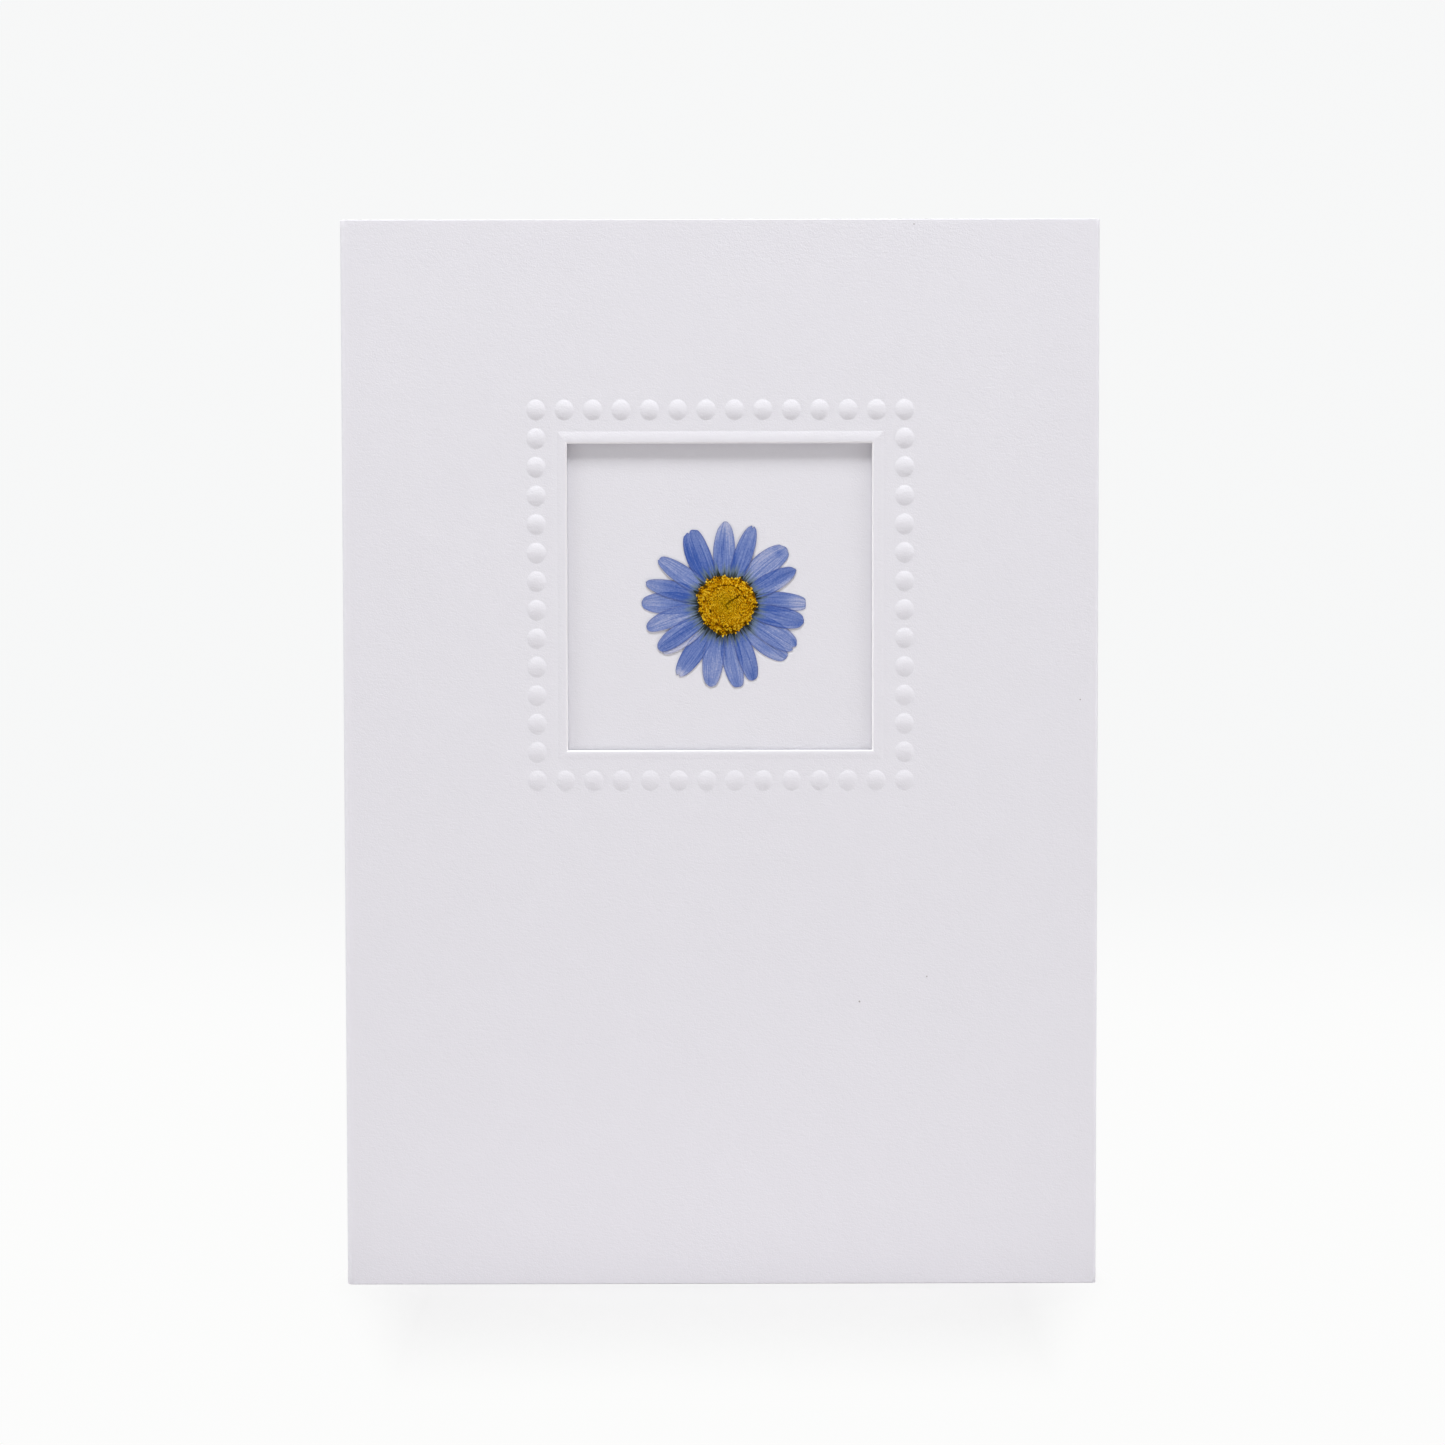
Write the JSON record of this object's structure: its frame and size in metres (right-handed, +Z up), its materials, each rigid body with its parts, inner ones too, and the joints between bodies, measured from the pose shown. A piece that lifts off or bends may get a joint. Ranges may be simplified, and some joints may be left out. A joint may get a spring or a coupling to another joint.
{
  "type": "greeting card",
  "caption": "Folded paper greeting card that stands half open, with a window framed by an embossed rim and beads, and a pressed blue daisy set in it.",
  "frame": {"origin": "on the surface that the card stands on, under the middle of its box", "axes": "+Z up the card; -Y out of the front panel, towards the reader; the spine fold is at -X, and the back panel runs away behind the front towards +Y"},
  "size_m": [0.105, 0.0686, 0.1485],
  "materials": {
    "card": "uncoated, finely felted, matte",
    "tape": "double-sided tape, matte",
    "petal": "dried petal, dyed blue, matte",
    "bract": "dried leaf, matte",
    "floret": "dried florets, granular, matte"
  },
  "bodies": {
    "root": {"card_sheet": "card", "tape_top": "tape", "tape_bottom": "tape", "tape_spine_side": "tape", "flower_bracts": "bract", "petal_01": "petal", "petal_02": "petal", "petal_03": "petal", "petal_04": "petal", "petal_05": "petal", "petal_06": "petal", "petal_07": "petal", "petal_08": "petal", "petal_09": "petal", "petal_10": "petal", "petal_11": "petal", "petal_12": "petal", "petal_13": "petal", "petal_14": "petal", "petal_15": "petal", "petal_16": "petal", "petal_17": "petal", "petal_18": "petal", "petal_19": "petal", "flower_disc": "floret"}
  },
  "joints": []
}
